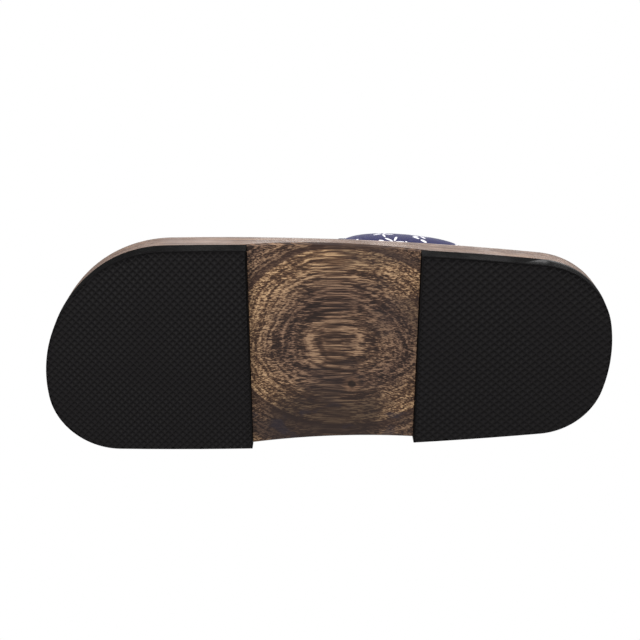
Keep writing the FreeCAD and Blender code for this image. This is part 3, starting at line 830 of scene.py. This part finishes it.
def padded_band():
    """The printed cover over its foam: one crowned cushion with puckered edges."""
    def outside(share, turn):
        return -crown(share, turn) - puckers(share, turn) + 0.1 * MM

    def inside(share, turn):
        return band_inner_depth(turn) - LINING_THICKNESS
    build = closed_band(band_surface(CUSHION_COLUMNS, CUSHION_MARGIN, outside),
                        band_surface(CUSHION_COLUMNS, CUSHION_MARGIN, inside))
    piece = new_piece("band_cushion", build, "printed_cloth", smooth_angle=60)
    swell(piece, held_points())
    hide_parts("band_cover", "band_padding")


def band_lining():
    """Soft cloth on the foot's side, pulled smooth over the foam."""
    def outside(share, turn):
        return band_inner_depth(turn) - LINING_THICKNESS + 0.02 * MM

    def inside(share, turn):
        return band_inner_depth(turn) + crown(share, turn) * LINING_CROWN_SHARE
    build = closed_band(band_surface(LINING_COLUMNS, LINING_MARGIN, outside),
                        band_surface(LINING_COLUMNS, LINING_MARGIN, inside))
    piece = new_piece("band_lining_cloth", build, "lining_cloth", smooth_angle=60)
    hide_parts("band_lining")
    flat = ((1 - 2 * LINING_MARGIN) * BAND_LENGTH, arc_lengths()[-1])


def band_binding(name, node, edge_share, inward):
    """Folded tape round one edge of the band: a rounded channel swept over the arch."""
    build = bmesh.new()
    cloth = build.loops.layers.uv.new("cloth")
    lengths = arc_lengths()
    width = BINDING_WIDTH / BAND_LENGTH
    rings = []
    for j in range(BAND_ROWS + 1):
        turn = j / BAND_ROWS
        thick = band_inner_depth(turn)
        ring = []
        for k in range(TAPE_STEPS):
            angle = 2 * math.pi * k / TAPE_STEPS
            across, out = (math.copysign(abs(part) ** TAPE_SQUARENESS, part)
                           for part in (math.cos(angle), math.sin(angle)))
            share = edge_share + inward * width * (0.5 - 0.5 * across)
            ripple = noise.noise(Vector((turn * 60.0, edge_share * 5.0, k * 0.1))) * TAPE_RIPPLE
            depth = thick / 2 - out * (thick / 2 + BINDING_PROUD) + ripple
            ring.append(build.verts.new(band_point(share, turn, depth)))
        rings.append(ring)
    for j in range(BAND_ROWS):
        for k in range(TAPE_STEPS):
            nxt = (k + 1) % TAPE_STEPS
            face = build.faces.new((rings[j][k], rings[j][nxt], rings[j + 1][nxt], rings[j + 1][k]))
            corners = ((k, j), (k + 1, j), (k + 1, j + 1), (k, j + 1))
            for loop, (a, b) in zip(face.loops, corners):
                loop[cloth].uv = (a * TAPE_CLOTH_STEP, lengths[b])
    build.faces.new(rings[0])
    build.faces.new(list(reversed(rings[-1])))
    bmesh.ops.recalc_face_normals(build, faces=build.faces)
    piece = new_piece(name, build, "binding_cloth", smooth_angle=50)
    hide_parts(node)


def stitch_row(name, share):
    """A row of short sewn stitches over the arch, standing a little out of the cloth."""
    build = bmesh.new()
    lengths = arc_lengths()
    total = lengths[-1]
    place = BAND_FOOT_DEPTH + FIRST_STITCH
    while place + STITCH_LENGTH < total - BAND_FOOT_DEPTH:
        ends = []
        for at in (place, place + STITCH_LENGTH / 2, place + STITCH_LENGTH):
            j = next(i for i, value in enumerate(lengths) if value >= at)
            turn = (j - (lengths[j] - at) / (lengths[j] - lengths[j - 1])) / BAND_ROWS
            ends.append(band_point(share, turn, -BINDING_PROUD - STITCH_PROUD))
        add_thread(build, ends)
        place += STITCH_LENGTH + STITCH_GAP
    new_piece(name, build, "binding_cloth", smooth_angle=60, material_name="thread")


def add_thread(build, points):
    """One stitch: a short tube that dips at both ends."""
    rings = []
    for i, point in enumerate(points):
        forward = (points[min(i + 1, 2)] - points[max(i - 1, 0)]).normalized()
        across = Vector((1, 0, 0))
        up = forward.cross(across).normalized()
        size = STITCH_RADIUS * (1.0 if i == 1 else STITCH_TIP_SHARE)
        rings.append([build.verts.new(point + (across * math.cos(a) + up * math.sin(a)) * size)
                      for a in (2 * math.pi * k / STITCH_SIDES for k in range(STITCH_SIDES))])
    for first, second in zip(rings, rings[1:]):
        for k in range(STITCH_SIDES):
            nxt = (k + 1) % STITCH_SIDES
            build.faces.new((first[k], first[nxt], second[nxt], second[k]))
    build.faces.new(list(reversed(rings[0])))
    build.faces.new(rings[-1])


# ---------------------------------------------------------------- camera, lights, stage

CAMERA_DISTANCE = 0.440
CAMERA_TILT = math.radians(24.4)
CAMERA_TARGET = Vector((-0.0034, -0.0183, 0.0))
CAMERA_LENS = 53.4
CAMERA_SENSOR = 36.0
LIGHT_TARGET = Vector((0, 0, 0.02))
LIGHTS = {  # place, power, size
    "outer_side_light": ((0.0, -0.75, -0.25), 6.0, 0.7),
    "sole_light": ((-0.25, -0.45, -0.8), 3.5, 0.6),
    "top_light": ((0.15, -0.25, 0.9), 8.0, 0.7),
}
FLOOR_REACH = 0.6
FLOOR_GAP = 0.5 * MM
FLOOR_FADE = (0.35, 0.95)


def aim(thing, target):
    """Turn a camera or a light to look at the target."""
    thing.rotation_mode = "QUATERNION"
    thing.rotation_quaternion = (target - thing.location).to_track_quat("-Z", "Y")


def make_camera():
    """Looks up at the sole from below and a little to the outer side."""
    data = bpy.data.cameras.new("camera")
    data.lens = CAMERA_LENS
    data.sensor_width = CAMERA_SENSOR
    camera = bpy.data.objects.new("camera", data)
    bpy.context.scene.collection.objects.link(camera)
    back = Vector((0, -math.sin(CAMERA_TILT), -math.cos(CAMERA_TILT)))
    camera.location = CAMERA_TARGET + back * CAMERA_DISTANCE
    aim(camera, CAMERA_TARGET)
    bpy.context.scene.camera = camera


def area_light(name, place, power, size):
    """A soft square light aimed at the slipper."""
    data = bpy.data.lights.new(name, "AREA")
    data.energy = power
    data.size = size
    light = bpy.data.objects.new(name, data)
    bpy.context.scene.collection.objects.link(light)
    light.location = place
    aim(light, LIGHT_TARGET)


def make_light():
    """White room, a broad light from the outer side, and softer ones below and above the slipper."""
    world = bpy.data.worlds.new("white_room")
    bpy.context.scene.world = world
    world.use_nodes = True
    n = Nodes(world.node_tree)
    background = world.node_tree.nodes["Background"]
    background.inputs["Color"].default_value = (1, 1, 1, 1)
    path = world.node_tree.nodes.new("ShaderNodeLightPath")
    n.feed(background.inputs["Strength"], n.spread(path.outputs["Is Camera Ray"], 0.0, 1.0, 0.5, 1.0))
    for name, settings in LIGHTS.items():
        area_light(name, *settings)
    bpy.context.scene.view_settings.view_transform = "Standard"


def make_floor():
    """A pale floor seen from above only, that fades into the white room towards its edges."""
    build = bmesh.new()
    bmesh.ops.create_grid(build, x_segments=1, y_segments=1, size=FLOOR_REACH)
    bmesh.ops.translate(build, vec=(0, 0, -FLOOR_GAP), verts=build.verts)
    mesh = bpy.data.meshes.new("floor")
    build.to_mesh(mesh)
    build.free()
    plane = bpy.data.objects.new("floor", mesh)
    bpy.context.scene.collection.objects.link(plane)
    for ray in ("visible_diffuse", "visible_glossy", "visible_transmission", "visible_shadow"):
        setattr(plane, ray, False)
    made = bpy.data.materials.new("floor")
    made.use_nodes = True
    tree = made.node_tree
    n = Nodes(tree)
    tree.nodes.remove(tree.nodes["Principled BSDF"])
    paper = tree.nodes.new("ShaderNodeBsdfDiffuse")
    paper.inputs["Color"].default_value = (1, 1, 1, 1)
    clear = tree.nodes.new("ShaderNodeBsdfTransparent")
    blend = tree.nodes.new("ShaderNodeMixShader")
    back = tree.nodes.new("ShaderNodeNewGeometry").outputs["Backfacing"]
    away = n.vector("LENGTH", coordinates(n, "Object"))
    shown = n.spread(away, FLOOR_REACH * FLOOR_FADE[0], FLOOR_REACH * FLOOR_FADE[1], 1.0, 0.0)
    n.feed(blend.inputs[0], n.math("MULTIPLY", shown, n.math("SUBTRACT", 1.0, back)))
    tree.links.new(clear.outputs[0], blend.inputs[1])
    tree.links.new(paper.outputs[0], blend.inputs[2])
    tree.links.new(blend.outputs[0], tree.nodes["Material Output"].inputs["Surface"])
    mesh.materials.append(made)


# ---------------------------------------------------------------- making it

make_camera()
dress_cad_nodes()
for pad_node, lattice in TREADS.items():
    rubber_tread(pad_node, **lattice)
padded_band()
band_lining()
band_binding("rear_edge_tape", "rear_binding", 0.0, 1)
band_binding("front_edge_tape", "front_binding", 1.0, -1)
stitch_row("rear_stitches", (BINDING_WIDTH - STITCH_INSET) / BAND_LENGTH)
stitch_row("front_stitches", 1 - (BINDING_WIDTH - STITCH_INSET) / BAND_LENGTH)
make_light()
make_floor()
